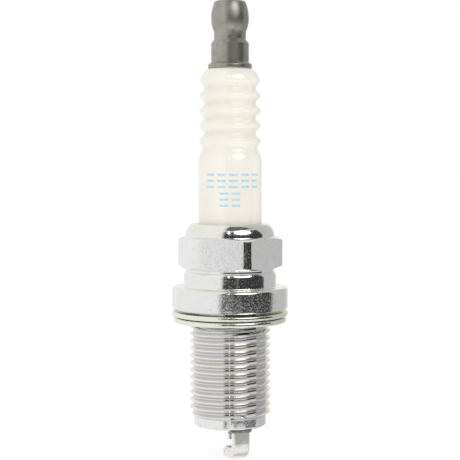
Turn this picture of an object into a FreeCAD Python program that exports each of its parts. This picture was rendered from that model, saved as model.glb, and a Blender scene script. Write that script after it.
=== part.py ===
import FreeCAD, Part
import os
import Sketcher

# A long-reach spark plug, M14 x 1.25, with a removable terminal nut and a captive gasket.
# The plug's axis is Z and the terminal points up. The origin lies on the axis, in the
# underside of the shell's flange, where the gasket seats. Heights are measured from there,
# so what screws into the cylinder head is negative. The ground electrode is on the -Y side.

SIZES = {
    # shell, outside, from the flange up
    "flange_radius": 9.85,
    "flange_height": 3.8,
    "flange_rounding": 0.6,
    "flange_chamfer": 0.25,
    "barrel_height": 2.93,
    "barrel_wall": 1.38,
    "barrel_shoulder": 0.95,
    "barrel_fillet": 0.25,
    "crimp_wall": 1.0,
    "crimp_groove": 0.25,
    "hex_across": 16.0,
    "hex_height": 5.63,
    "hex_corner_rounding": 1.5,
    "hex_top_ledge": 0.22,
    "hex_top_slope": 0.48,
    "hex_bottom_slope": 0.45,
    "collar_wall": 1.08,
    "lip_thickness": 1.5,
    "lip_width": 1.12,
    "lip_gap": 0.16,
    "lip_rounding": 0.25,
    # shell, thread end
    "reach": 19.0,
    "gasket_allowance": 0.93,
    "thread_radius": 6.93,
    "thread_pitch": 1.25,
    "thread_depth": 0.7,
    "neck_relief": 0.08,
    "neck_room": 0.09,
    "pilot_relief": 0.03,
    "pilot_length": 1.7,
    "pilot_wall": 1.45,
    "pilot_rounding": 0.4,
    "ledge_length": 1.5,
    # insulator, outside
    "insulator_top": 40.48,
    "insulator_radius": 5.4,
    "head_height": 3.26,
    "head_step": 1.72,
    "bulb_step": 0.35,
    "rib_step": 0.2,
    "rib_pitch": 2.52,
    "rib_rounding": 0.52,
    "groove_count": 5,
    "groove_depth": 0.83,
    "last_groove_depth": 0.52,
    "groove_flat": 0.4,
    "groove_width": 2.05,
    "groove_rounding": 0.35,
    "shoulder_drop": 1.61,
    "shoulder_rounding": 3.2,
    "band_step": 1.0,
    "band_height": 5.4,
    "band_bottom": 3.2,
    "band_cone": 1.3,
    "trunk_radius": 4.7,
    "seat_depth": 5.5,
    "seat_slope": 0.78,
    "nose_radius": 3.75,
    "nose_end_radius": 2.3,
    "nose_beyond_shell": 0.4,
    "nose_rounding": 0.35,
    # insulator, bores
    "core_radius": 2.0,
    "core_floor_rise": 2.5,
    "counterbore_depth": 0.7,
    # fits and packing between insulator and shell
    "band_fit": 0.1,
    "band_floor_gap": 0.2,
    "trunk_fit": 0.15,
    "nose_fit": 0.2,
    "packing_gap": 0.02,
    "packing_sheet": 0.32,
    "packing_wire": 0.5,
    "talc_height": 2.25,
    # terminal nut
    "nut_radius": 3.175,
    "nut_flange_step": 0.515,
    "nut_flange": 0.7,
    "nut_flange_cone": 0.4,
    "nut_body": 3.13,
    "nut_waist_depth": 0.495,
    "nut_waist_cone": 0.72,
    "nut_waist": 1.25,
    "nut_barrel_low": 2.15,
    "nut_barrel_high": 2.95,
    "nut_top_step": 0.595,
    "nut_top_rounding": 0.35,
    "nut_edge": 0.2,
    "nut_bore_fit": 0.08,
    "nut_bore_room": 0.9,
    "nut_bore_point": 0.8,
    # terminal stud
    "stud_radius": 1.97,
    "stud_pitch": 0.7,
    "stud_thread_depth": 0.4,
    "stud_height": 8.1,
    "stud_relief": 0.5,
    "stud_collar_step": 0.6,
    "stud_rod_fit": 0.1,
    "stud_tip_cover": 0.5,
    "stud_tip_length": 4.0,
    "stud_tip_groove": 0.25,
    "stud_tip_grooves": 4,
    # seals and resistor
    "lower_seal_height": 3.6,
    "resistor_length": 6.5,
    "upper_seal_height": 6.0,
    # centre electrode and its tip
    "electrode_radius": 1.25,
    "electrode_fit": 0.05,
    "electrode_head_fit": 0.25,
    "electrode_head_height": 0.9,
    "electrode_beyond_nose": 0.3,
    "electrode_cone": 0.7,
    "copper_cover": 0.55,
    "copper_end_cover": 4.3,
    "tip_radius": 0.3,
    "tip_length": 1.25,
    "tip_weld_width": 0.15,
    "tip_weld_height": 0.35,
    # ground electrode
    "strap_width": 2.9,
    "strap_thickness": 1.3,
    "strap_bend": 3.0,
    "strap_beyond_axis": 0.75,
    "strap_edge": 0.3,
    "strap_tip_width": 1.7,
    "strap_taper": 1.6,
    "spark_gap": 1.1,
    "weld_overhang": 0.3,
    "weld_height": 0.35,
    "chip_radius": 0.45,
    "chip_height": 0.15,
    "chip_weld_width": 0.2,
    "chip_weld_height": 0.07,
    # gasket
    "gasket_sheet": 0.4,
    "gasket_fold_gap": 0.12,
    "gasket_fold_rounding": 0.42,
    "gasket_overhang": 0.05,
    "gasket_lower_inset": 0.25,
    "gasket_bore_gap": 0.4,
    "gasket_lip_gap": 0.12,
    "gasket_play": 0.3,
}

document = FreeCAD.newDocument("spark_plug")
sheet = document.addObject("Spreadsheet::Sheet", "Sizes")
for row, (name, size) in enumerate(SIZES.items(), start=1):
    sheet.set("A%d" % row, name)
    sheet.set("B%d" % row, str(size))
    sheet.setAlias("B%d" % row, name)
document.recompute()

FULL_TURN = 360
MATCH = 1e-4


def sized(formula):
    """The formula with each size's name written as a cell of the sheet."""
    words = []
    word = ""
    for letter in str(formula) + " ":
        if letter.isalnum() or letter == "_":
            word += letter
            continue
        words.append("Sizes." + word if word in SIZES else word)
        words.append(letter)
        word = ""
    return "".join(words).strip()


def value(formula):
    """What the formula comes to with the sheet's present sizes."""
    return float(sheet.evalExpression(sized(formula)))


# Radii and heights that several pieces share, as formulas of the sizes.

BAND_RADIUS = "(insulator_radius + band_step)"
CHAMBER_RADIUS = "(%s + band_fit)" % BAND_RADIUS
THROAT_RADIUS = "(trunk_radius + trunk_fit)"
LEDGE_RADIUS = "(nose_radius + nose_fit)"
COLLAR_RADIUS = "(%s + collar_wall)" % CHAMBER_RADIUS
CRIMP_RADIUS = "(%s + crimp_wall)" % CHAMBER_RADIUS
BARREL_RADIUS = "(%s + barrel_wall)" % CHAMBER_RADIUS
HEX_CORNER = "(hex_across / sqrt(3))"
THREAD_ROOT = "(thread_radius - thread_depth)"
NECK_RADIUS = "(%s - neck_relief)" % THREAD_ROOT
PILOT_RADIUS = "(%s - pilot_relief)" % THREAD_ROOT
MOUTH_RADIUS = "(%s - pilot_wall)" % PILOT_RADIUS
STRAP_RADIUS = "(%s - pilot_wall / 2)" % PILOT_RADIUS
SEAL_RADIUS = "(core_radius - packing_gap)"
SHAFT_BORE = "(electrode_radius + electrode_fit)"
HEAD_RADIUS = "(core_radius - electrode_head_fit)"
COPPER_RADIUS = "(electrode_radius - copper_cover)"
CONE_END_RADIUS = "(tip_radius + tip_weld_width)"
STUD_TIP_RADIUS = "(core_radius - stud_tip_cover)"
STUD_COLLAR_RADIUS = "(core_radius + stud_collar_step)"
WIRE_CIRCLE = "((insulator_radius + %s) / 2)" % CHAMBER_RADIUS
HEX_BOTTOM = "(flange_height + barrel_height)"
HEX_TOP = "(%s + hex_height)" % HEX_BOTTOM
BAND_TOP = "(band_bottom + band_height)"
RING_SPACE = "(2 * packing_wire + packing_gap)"
LOWER_WIRE = "(%s + packing_gap + packing_wire)" % BAND_TOP
TALC_BOTTOM = "(%s + %s + packing_gap)" % (BAND_TOP, RING_SPACE)
TALC_TOP = "(%s + talc_height)" % TALC_BOTTOM
UPPER_WIRE = "(%s + packing_gap + packing_wire)" % TALC_TOP
LIP_UNDERSIDE = "(%s + %s + packing_gap)" % (TALC_TOP, RING_SPACE)
LIP_TOP = "(%s + lip_thickness)" % LIP_UNDERSIDE
SEAT_TOP = "(-seat_depth)"
CORE_FLOOR = "(core_floor_rise - seat_depth)"
HEAD_TOP = "(%s + electrode_head_height)" % CORE_FLOOR
LOWER_SEAL_TOP = "(%s + lower_seal_height)" % HEAD_TOP
RESISTOR_TOP = "(%s + resistor_length)" % LOWER_SEAL_TOP
UPPER_SEAL_TOP = "(%s + upper_seal_height)" % RESISTOR_TOP
COLLAR_BOTTOM = "(insulator_top - counterbore_depth)"
SHELL_END = "(-reach - gasket_allowance)"
NOSE_END = "(%s - nose_beyond_shell)" % SHELL_END
CONE_END = "(%s - electrode_beyond_nose - electrode_cone)" % NOSE_END
COPPER_END = "(%s + copper_end_cover)" % CONE_END
TIP_END = "(%s - tip_length)" % CONE_END
STRAP_FACE = "(%s - spark_gap - chip_height)" % TIP_END
STRAP_BASE = "(%s - weld_height)" % SHELL_END
GASKET_HEIGHT = "(4 * gasket_sheet + 3 * gasket_fold_gap)"
NECK_LENGTH = "(gasket_play + %s + neck_room)" % GASKET_HEIGHT
HEX_ANGLE = 60
FIRST_CORNER = -90
FLANK_ANGLE = 30
CREST_FLAT = "0.125"
OUTSIDE = 1.0


def origin_plane(body, role):
    """One of the body's own origin planes."""
    return next(plane for plane in body.Origin.OriginFeatures if plane.Role == role)


def new_sketch(body, name, role, raised="0"):
    """An empty sketch on an origin plane, or that far above it."""
    sketch = body.newObject("Sketcher::SketchObject", name)
    sketch.AttachmentSupport = [(origin_plane(body, role), "")]
    sketch.MapMode = "FlatFace"
    sketch.setExpression("AttachmentOffset.Base.z", sized(raised))
    return sketch


def left(radius):
    """An arc that bends to the left on its way to the next corner."""
    return (1, radius)


def right(radius):
    """An arc that bends to the right on its way to the next corner."""
    return (-1, radius)


def quarter_bend(rise, swell):
    """Radius of the arc that rises and swells by that much and ends along the axis."""
    return "((%s ^ 2 + %s ^ 2) / (2 * %s))" % (rise, swell, swell)


def on_seat(radius):
    """Height of the insulator's seat cone at a radius."""
    return "(%s - (trunk_radius - %s) * seat_slope)" % (SEAT_TOP, radius)


def add_side(sketch, start, end, bend):
    """Draws one side and returns which of its ends is the start and which the end."""
    if bend is None:
        sketch.addGeometry(Part.LineSegment(start, end), False)
        return (1, 2)
    turn, radius = bend[0], value(bend[1])
    middle = (start + end) / 2
    along = end - start
    across = FreeCAD.Vector(-along.y, along.x, 0).normalize()
    centre = middle + across * (turn * (radius ** 2 - (along.Length / 2) ** 2) ** 0.5)
    circle = Part.Circle(centre, FreeCAD.Vector(0, 0, 1), radius)
    first, last = (start, end) if turn > 0 else (end, start)
    arc = Part.ArcOfCircle(circle, circle.parameter(first), circle.parameter(last))
    side = sketch.addGeometry(arc, False)
    fixed = sketch.addConstraint(Sketcher.Constraint("Radius", side, radius))
    sketch.setExpression("Constraints[%d]" % fixed, sized(bend[1]))
    return (1, 2) if turn > 0 else (2, 1)


def add_outline(sketch, corners):
    """A closed outline whose corners are (x, y) or (x, y, bend of the side that follows)."""
    first = len(sketch.Geometry)
    count = len(corners)
    places = [FreeCAD.Vector(value(corner[0]), value(corner[1]), 0) for corner in corners]
    ends = []
    for number, corner in enumerate(corners):
        bend = corner[2] if len(corner) > 2 else None
        ends.append(add_side(sketch, places[number], places[(number + 1) % count], bend))
    for number in range(count):
        after = (number + 1) % count
        sketch.addConstraint(Sketcher.Constraint(
            "Coincident", first + number, ends[number][1], first + after, ends[after][0]))
    for number, corner in enumerate(corners):
        point = (first + number, ends[number][0])
        for kind, axis, formula in (("DistanceX", -2, corner[0]), ("DistanceY", -1, corner[1])):
            if str(formula) == "0":
                sketch.addConstraint(Sketcher.Constraint("PointOnObject", *point, axis))
                continue
            distance = Sketcher.Constraint(kind, -1, 1, *point, value(formula))
            fixed = sketch.addConstraint(distance)
            sketch.setExpression("Constraints[%d]" % fixed, sized(formula))


def add_circle(sketch, radius):
    """A circle about the sketch's origin."""
    circle = Part.Circle(FreeCAD.Vector(0, 0, 0), FreeCAD.Vector(0, 0, 1), value(radius))
    ring = sketch.addGeometry(circle, False)
    sketch.addConstraint(Sketcher.Constraint("Coincident", ring, 3, -1, 1))
    fixed = sketch.addConstraint(Sketcher.Constraint("Radius", ring, value(radius)))
    sketch.setExpression("Constraints[%d]" % fixed, sized(radius))


def new_body(label):
    """An empty body for one piece."""
    body = document.addObject("PartDesign::Body", label)
    body.Label = label
    return body


def turned(label, corners):
    """A body turned about Z from an outline of (radius, height) corners."""
    body = new_body(label)
    sketch = new_sketch(body, label + "_outline", "XZ_Plane")
    add_outline(sketch, corners)
    revolution = body.newObject("PartDesign::Revolution", label + "_turned")
    revolution.Profile = sketch
    revolution.ReferenceAxis = (sketch, ["V_Axis"])
    revolution.Angle = FULL_TURN
    document.recompute()
    return body


def must_shrink(body, before, name):
    """Stops when a cut has taken nothing away."""
    if body.Shape.Volume >= before - MATCH:
        raise RuntimeError("%s cuts nothing" % name)


def cut_ring(body, name, corners):
    """A groove turned out of the body."""
    before = body.Shape.Volume
    sketch = new_sketch(body, name + "_outline", "XZ_Plane")
    add_outline(sketch, corners)
    groove = body.newObject("PartDesign::Groove", name)
    groove.Profile = sketch
    groove.ReferenceAxis = (sketch, ["V_Axis"])
    groove.Angle = FULL_TURN
    document.recompute()
    must_shrink(body, before, name)


def cut_thread(body, name, crest, depth, pitch, top, length):
    """A right-hand 60 degree thread groove that runs down from top for the given length."""
    before = body.Shape.Volume
    reach_out = "(%s * %s)" % (depth, CREST_FLAT)
    crest_half = "(%s * (1 - %s) / 2)" % (pitch, CREST_FLAT)
    outer = "(%s + %s)" % (crest, reach_out)
    outer_half = "(%s + %s * tan(%d))" % (crest_half, reach_out, FLANK_ANGLE)
    root = "(%s - %s)" % (crest, depth)
    root_half = "(%s - %s * tan(%d))" % (crest_half, depth, FLANK_ANGLE)
    sketch = new_sketch(body, name + "_vee", "XZ_Plane")
    add_outline(sketch, [
        (root, "%s - %s" % (top, root_half)),
        (outer, "%s - %s" % (top, outer_half)),
        (outer, "%s + %s" % (top, outer_half)),
        (root, "%s + %s" % (top, root_half))])
    helix = body.newObject("PartDesign::SubtractiveHelix", name)
    helix.Profile = sketch
    helix.ReferenceAxis = (sketch, ["V_Axis"])
    helix.Mode = "pitch-height-angle"
    helix.Reversed = True
    helix.setExpression("Pitch", sized(pitch))
    helix.setExpression("Height", sized(length))
    document.recompute()
    must_shrink(body, before, name)


def is_ring(edge, radius, height):
    """Whether the edge is a circle about Z of that radius at that height."""
    if not isinstance(edge.Curve, Part.Circle):
        return False
    centre = edge.Curve.Center
    off_axis = abs(centre.x) + abs(centre.y)
    return max(abs(edge.Curve.Radius - radius), abs(centre.z - height), off_axis) < MATCH


def edges_where(body, wanted):
    """Names of the edges of the body's last feature that the test accepts."""
    edges = body.Tip.Shape.Edges
    return ["Edge%d" % number for number, edge in enumerate(edges, start=1) if wanted(edge)]


def dress(body, kind, name, edges, size):
    """A fillet or a chamfer on the named edges."""
    if not edges:
        raise RuntimeError("%s finds no edge" % name)
    base = body.Tip
    feature = body.newObject("PartDesign::" + kind, name)
    feature.Base = (base, edges)
    feature.setExpression("Radius" if kind == "Fillet" else "Size", sized(size))
    document.recompute()
    if "Invalid" in feature.State:
        raise RuntimeError("%s fails" % name)


def dress_rings(body, kind, name, rings, size):
    """A fillet or a chamfer on circular edges given as (radius, height) pairs."""
    places = [(value(radius), value(height)) for radius, height in rings]
    edges = []
    for radius, height in places:
        found = edges_where(body, lambda edge: is_ring(edge, radius, height))
        if not found:
            raise RuntimeError("%s finds no ring at %.3f, %.3f" % (name, radius, height))
        edges.extend(found)
    dress(body, kind, name, edges, size)


def plain_cylinder(label, radius, bottom, height):
    """A plain cylinder on the axis."""
    cylinder = document.addObject("Part::Cylinder", label)
    cylinder.Label = label
    cylinder.setExpression("Radius", sized(radius))
    cylinder.setExpression("Height", sized(height))
    cylinder.setExpression(".Placement.Base.z", sized(bottom))
    return cylinder


def make_terminal_nut():
    """The nut that the plug cap grips: flange, body, waist and barrel head."""
    flange_top = "insulator_top + nut_flange"
    body_bottom = flange_top + " + nut_flange_cone"
    body_top = body_bottom + " + nut_body"
    waist_bottom = body_top + " + nut_waist_cone"
    waist_top = waist_bottom + " + nut_waist"
    widest = waist_top + " + nut_barrel_low"
    top = widest + " + nut_barrel_high"
    flange_radius = "nut_radius + nut_flange_step"
    waist_radius = "nut_radius - nut_waist_depth"
    top_radius = "nut_radius - nut_top_step"
    bore = "stud_radius + nut_bore_fit"
    bore_top = "insulator_top + stud_height + nut_bore_room"
    nut = turned("terminal_nut", [
        (bore, "insulator_top"),
        (flange_radius, "insulator_top"),
        (flange_radius, flange_top),
        ("nut_radius", body_bottom),
        ("nut_radius", body_top),
        (waist_radius, waist_bottom),
        (waist_radius, waist_top, left(quarter_bend("nut_barrel_low", "nut_waist_depth"))),
        ("nut_radius", widest, left(quarter_bend("nut_barrel_high", "nut_top_step"))),
        (top_radius, top),
        ("0", top),
        ("0", bore_top + " + nut_bore_point"),
        (bore, bore_top)])
    dress_rings(nut, "Fillet", "nut_top_edge", [(top_radius, top)], "nut_top_rounding")
    dress_rings(nut, "Fillet", "nut_edges", [
        (flange_radius, "insulator_top"), (flange_radius, flange_top)], "nut_edge")
    return nut


def make_terminal_stud():
    """The stud that carries the nut and leads down to the upper glass seal."""
    top = "insulator_top + stud_height"
    relief = "(stud_radius - stud_thread_depth - packing_gap)"
    tip_bottom = "(%s - stud_tip_length)" % UPPER_SEAL_TOP
    corners = [
        ("0", top),
        ("stud_radius - stud_thread_depth", top),
        ("stud_radius", top + " - stud_thread_depth"),
        ("stud_radius", "insulator_top + stud_relief"),
        (relief, "insulator_top + stud_relief"),
        (relief, "insulator_top"),
        (STUD_COLLAR_RADIUS, "insulator_top"),
        (STUD_COLLAR_RADIUS, COLLAR_BOTTOM),
        ("core_radius - stud_rod_fit", COLLAR_BOTTOM),
        ("core_radius - stud_rod_fit", UPPER_SEAL_TOP),
        (STUD_TIP_RADIUS, UPPER_SEAL_TOP)]
    spacing = "(stud_tip_length / (stud_tip_grooves + 1))"
    for number in range(1, int(value("stud_tip_grooves")) + 1):
        middle = "%s - %d * %s" % (UPPER_SEAL_TOP, number, spacing)
        corners += [
            (STUD_TIP_RADIUS, middle + " + stud_tip_groove"),
            (STUD_TIP_RADIUS + " - stud_tip_groove", middle),
            (STUD_TIP_RADIUS, middle + " - stud_tip_groove")]
    corners += [(STUD_TIP_RADIUS, tip_bottom), ("0", tip_bottom)]
    stud = turned("terminal_stud", corners)
    cut_thread(stud, "stud_thread", "stud_radius", "stud_thread_depth", "stud_pitch",
               "(insulator_top + stud_height + stud_pitch)",
               "(stud_height - stud_relief + 3 / 2 * stud_pitch)")
    return stud


def make_insulator():
    """The glazed insulator: ribbed neck, smooth barrel, band, trunk, seat step and nose."""
    crests = []
    roots = []
    bulb_radius = "(insulator_radius - bulb_step)"
    rib_radius = "(insulator_radius - rib_step)"
    first_groove = "(insulator_top - head_height)"
    count = int(value("groove_count"))
    head_bend = quarter_bend("(head_height - groove_width / 2)", "(head_step - bulb_step)")
    corners = [
        (STUD_COLLAR_RADIUS + " + packing_gap", "insulator_top"),
        ("insulator_radius - head_step", "insulator_top", right(head_bend))]
    for number in range(count):
        last = number == count - 1
        middle = "%s - %d * rib_pitch" % (first_groove, number)
        root = "%s - %s" % (rib_radius, "last_groove_depth" if last else "groove_depth")
        upper = (rib_radius if number else bulb_radius, middle + " + groove_width / 2")
        floor = [(root, middle + " + groove_flat / 2"), (root, middle + " - groove_flat / 2")]
        lower = [] if last else [(rib_radius, middle + " - groove_width / 2")]
        corners += [upper] + floor + lower
        crests += [upper] + lower
        roots += floor
    shoulder = ("insulator_radius", "%s - %d * rib_pitch - shoulder_drop" % (first_groove, count - 1))
    nose_tip = ("nose_end_radius", NOSE_END)
    corners += [
        shoulder,
        ("insulator_radius", BAND_TOP),
        (BAND_RADIUS, BAND_TOP),
        (BAND_RADIUS, "band_bottom"),
        ("trunk_radius", "band_bottom - band_cone"),
        ("trunk_radius", SEAT_TOP),
        ("nose_radius", on_seat("nose_radius")),
        nose_tip,
        (SHAFT_BORE, NOSE_END),
        (SHAFT_BORE, "%s - (core_radius - %s)" % (CORE_FLOOR, SHAFT_BORE)),
        ("core_radius", CORE_FLOOR),
        ("core_radius", COLLAR_BOTTOM),
        (STUD_COLLAR_RADIUS + " + packing_gap", COLLAR_BOTTOM)]
    insulator = turned("insulator", corners)
    dress_rings(insulator, "Fillet", "shoulder_bend", [shoulder], "shoulder_rounding")
    dress_rings(insulator, "Fillet", "rib_crests", crests, "rib_rounding")
    dress_rings(insulator, "Fillet", "rib_roots", roots, "groove_rounding")
    dress_rings(insulator, "Fillet", "nose_tip", [nose_tip], "nose_rounding")
    return insulator


def add_hexagon(shell):
    """The wrench hexagon, with its corners bevelled above and below."""
    sketch = new_sketch(shell, "hexagon_outline", "XY_Plane", HEX_BOTTOM)
    corners = []
    for number in range(FULL_TURN // HEX_ANGLE):
        angle = FIRST_CORNER + number * HEX_ANGLE
        corners.append(("%s * cos(%d)" % (HEX_CORNER, angle), "%s * sin(%d)" % (HEX_CORNER, angle)))
    add_outline(sketch, corners)
    add_circle(sketch, CHAMBER_RADIUS + " + crimp_wall / 4")
    pad = shell.newObject("PartDesign::Pad", "hexagon")
    pad.Profile = sketch
    pad.setExpression("Length", sized("hex_height"))
    document.recompute()
    corner = value(HEX_CORNER)

    def is_hexagon_corner(edge):
        box = edge.BoundBox
        off_axis = (box.Center.x ** 2 + box.Center.y ** 2) ** 0.5
        return box.ZLength > MATCH and abs(off_axis - corner) < MATCH

    upright = edges_where(shell, is_hexagon_corner)
    dress(shell, "Fillet", "hexagon_corners", upright, "hex_corner_rounding")
    outer = "(%s + %s)" % (HEX_CORNER, OUTSIDE)
    top_round = "(%s + hex_top_ledge)" % COLLAR_RADIUS
    over = "(hex_top_ledge / 2)"
    cut_ring(shell, "hexagon_top_bevel", [
        ("%s - %s" % (top_round, over), "%s + %s * hex_top_slope" % (HEX_TOP, over)),
        (outer, "%s - (%s - %s) * hex_top_slope" % (HEX_TOP, outer, top_round)),
        (outer, "%s + %s * hex_top_slope" % (HEX_TOP, over))])
    cut_ring(shell, "hexagon_bottom_bevel", [
        (CRIMP_RADIUS, HEX_BOTTOM),
        (outer, HEX_BOTTOM),
        (outer, "%s + (%s - %s) * hex_bottom_slope" % (HEX_BOTTOM, outer, CRIMP_RADIUS))])


def make_metal_shell():
    """The steel shell: rolled lip, hexagon, crimp, flange, thread and pilot end."""
    lip_bore = "insulator_radius + lip_gap"
    lip_radius = "(insulator_radius + lip_width)"
    lip_bend = quarter_bend("(%s - %s)" % (LIP_TOP, HEX_TOP), "(%s - %s)" % (COLLAR_RADIUS, lip_radius))
    barrel_bend = quarter_bend("barrel_shoulder", "(barrel_wall - crimp_wall)")
    barrel_top = "%s - crimp_groove" % HEX_BOTTOM
    thread_end = SHELL_END + " + pilot_length"
    chamber_floor = "(band_bottom - band_floor_gap)"
    ledge_top = on_seat(LEDGE_RADIUS) + " - packing_sheet"
    ledge_bottom = ledge_top + " - ledge_length"
    shell = turned("metal_shell", [
        (lip_bore, LIP_UNDERSIDE),
        (lip_bore, LIP_TOP),
        (lip_radius, LIP_TOP, right(lip_bend)),
        (COLLAR_RADIUS, HEX_TOP),
        (COLLAR_RADIUS, HEX_BOTTOM),
        (CRIMP_RADIUS, HEX_BOTTOM),
        (CRIMP_RADIUS, barrel_top, right(barrel_bend)),
        (BARREL_RADIUS, barrel_top + " - barrel_shoulder"),
        (BARREL_RADIUS, "flange_height"),
        ("flange_radius", "flange_height"),
        ("flange_radius", "0"),
        (NECK_RADIUS, "0"),
        (NECK_RADIUS, "-" + NECK_LENGTH),
        ("thread_radius", "-%s - thread_depth" % NECK_LENGTH),
        ("thread_radius", thread_end + " + thread_depth"),
        (PILOT_RADIUS, thread_end),
        (PILOT_RADIUS, SHELL_END),
        (MOUTH_RADIUS, SHELL_END),
        (MOUTH_RADIUS, "%s - (%s - %s)" % (ledge_bottom, MOUTH_RADIUS, LEDGE_RADIUS)),
        (LEDGE_RADIUS, ledge_bottom),
        (LEDGE_RADIUS, ledge_top),
        (THROAT_RADIUS, on_seat(THROAT_RADIUS) + " - packing_sheet"),
        (THROAT_RADIUS, "%s - (%s - %s) * seat_slope" % (chamber_floor, CHAMBER_RADIUS, THROAT_RADIUS)),
        (CHAMBER_RADIUS, chamber_floor),
        (CHAMBER_RADIUS, LIP_UNDERSIDE)])
    add_hexagon(shell)
    dress_rings(shell, "Fillet", "lip_edges", [
        (lip_bore, LIP_TOP), (lip_radius, LIP_TOP)], "lip_rounding")
    dress_rings(shell, "Fillet", "flange_top_edge", [
        ("flange_radius", "flange_height")], "flange_rounding")
    dress_rings(shell, "Fillet", "barrel_root", [(BARREL_RADIUS, "flange_height")], "barrel_fillet")
    dress_rings(shell, "Chamfer", "flange_bottom_edge", [("flange_radius", "0")], "flange_chamfer")
    dress_rings(shell, "Fillet", "pilot_edge", [(PILOT_RADIUS, SHELL_END)], "pilot_rounding")
    cut_thread(shell, "shell_thread", "thread_radius", "thread_depth", "thread_pitch",
               "(thread_pitch - %s)" % NECK_LENGTH,
               "(2 * thread_pitch - pilot_length - %s - %s)" % (NECK_LENGTH, SHELL_END))
    return shell


def make_seat_packing():
    """The sheet ring that seals the insulator's step on the shell's ledge."""
    upper_gap = " - packing_gap"
    lower_gap = " - packing_sheet + packing_gap"
    return turned("seat_packing", [
        (LEDGE_RADIUS, on_seat(LEDGE_RADIUS) + upper_gap),
        (LEDGE_RADIUS, on_seat(LEDGE_RADIUS) + lower_gap),
        ("trunk_radius", on_seat("trunk_radius") + lower_gap),
        ("trunk_radius", on_seat("trunk_radius") + upper_gap)])


def make_packing_ring(label, height):
    """A wire ring between the insulator and the shell's chamber."""
    ring = document.addObject("Part::Torus", label)
    ring.Label = label
    ring.setExpression("Radius1", sized(WIRE_CIRCLE))
    ring.setExpression("Radius2", sized("packing_wire"))
    ring.setExpression(".Placement.Base.z", sized(height))
    return ring


def make_talc_fill():
    """The pressed powder between the two packing rings."""
    inner = "insulator_radius + packing_gap"
    outer = CHAMBER_RADIUS + " - packing_gap"
    return turned("talc_fill", [
        (inner, TALC_BOTTOM), (outer, TALC_BOTTOM), (outer, TALC_TOP), (inner, TALC_TOP)])


def make_upper_glass_seal():
    """The glass that holds the stud's grooved tip."""
    pocket = STUD_TIP_RADIUS + " + packing_gap"
    pocket_floor = "(%s - stud_tip_length)" % UPPER_SEAL_TOP
    return turned("upper_glass_seal", [
        ("0", RESISTOR_TOP),
        (SEAL_RADIUS, RESISTOR_TOP),
        (SEAL_RADIUS, UPPER_SEAL_TOP),
        (pocket, UPPER_SEAL_TOP),
        (pocket, pocket_floor),
        ("0", pocket_floor)])


def make_lower_glass_seal():
    """The glass over the head of the centre electrode."""
    pocket = HEAD_RADIUS + " + packing_gap"
    return turned("lower_glass_seal", [
        ("0", HEAD_TOP),
        (pocket, HEAD_TOP),
        (pocket, CORE_FLOOR),
        (SEAL_RADIUS, CORE_FLOOR),
        (SEAL_RADIUS, LOWER_SEAL_TOP),
        ("0", LOWER_SEAL_TOP)])


def make_centre_electrode():
    """The headed rod, bored for its copper core."""
    bore = COPPER_RADIUS + " + packing_gap"
    under_head = CORE_FLOOR + " - (core_radius - %s) + packing_gap"
    return turned("centre_electrode", [
        (bore, HEAD_TOP),
        (HEAD_RADIUS, HEAD_TOP),
        (HEAD_RADIUS, under_head % HEAD_RADIUS),
        ("electrode_radius", under_head % "electrode_radius"),
        ("electrode_radius", CONE_END + " + electrode_cone"),
        (CONE_END_RADIUS, CONE_END),
        ("0", CONE_END),
        ("0", COPPER_END),
        (bore, COPPER_END)])


def make_tip_weld():
    """The ring of melted metal at the foot of the centre tip."""
    return turned("tip_weld", [
        ("tip_radius", CONE_END),
        ("tip_radius", CONE_END + " - tip_weld_height"),
        (CONE_END_RADIUS, CONE_END)])


def make_chip_weld():
    """The ring of melted metal round the chip."""
    return turned("chip_weld", [
        ("chip_radius", STRAP_FACE),
        ("chip_radius + chip_weld_width", STRAP_FACE),
        ("chip_radius", STRAP_FACE + " + chip_weld_height")])


def make_ground_weld():
    """The flat nugget that joins the strap to the shell's end face."""
    weld = new_body("ground_weld")
    half = "(strap_width / 2 + weld_overhang)"
    near = "(strap_thickness / 2 - %s)" % STRAP_RADIUS
    far = "(-strap_thickness / 2 - %s)" % STRAP_RADIUS
    sketch = new_sketch(weld, "nugget_outline", "XY_Plane", STRAP_BASE)
    add_outline(sketch, [("-" + half, far), (half, far), (half, near), ("-" + half, near)])
    pad = weld.newObject("PartDesign::Pad", "nugget")
    pad.Profile = sketch
    pad.setExpression("Length", sized("weld_height"))
    document.recompute()
    side = value(half)

    def is_upright_end(edge):
        box = edge.BoundBox
        return box.ZLength > MATCH and abs(abs(box.XMin) - side) < MATCH

    dress(weld, "Fillet", "nugget_ends", edges_where(weld, is_upright_end), "weld_overhang")
    return weld


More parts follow.
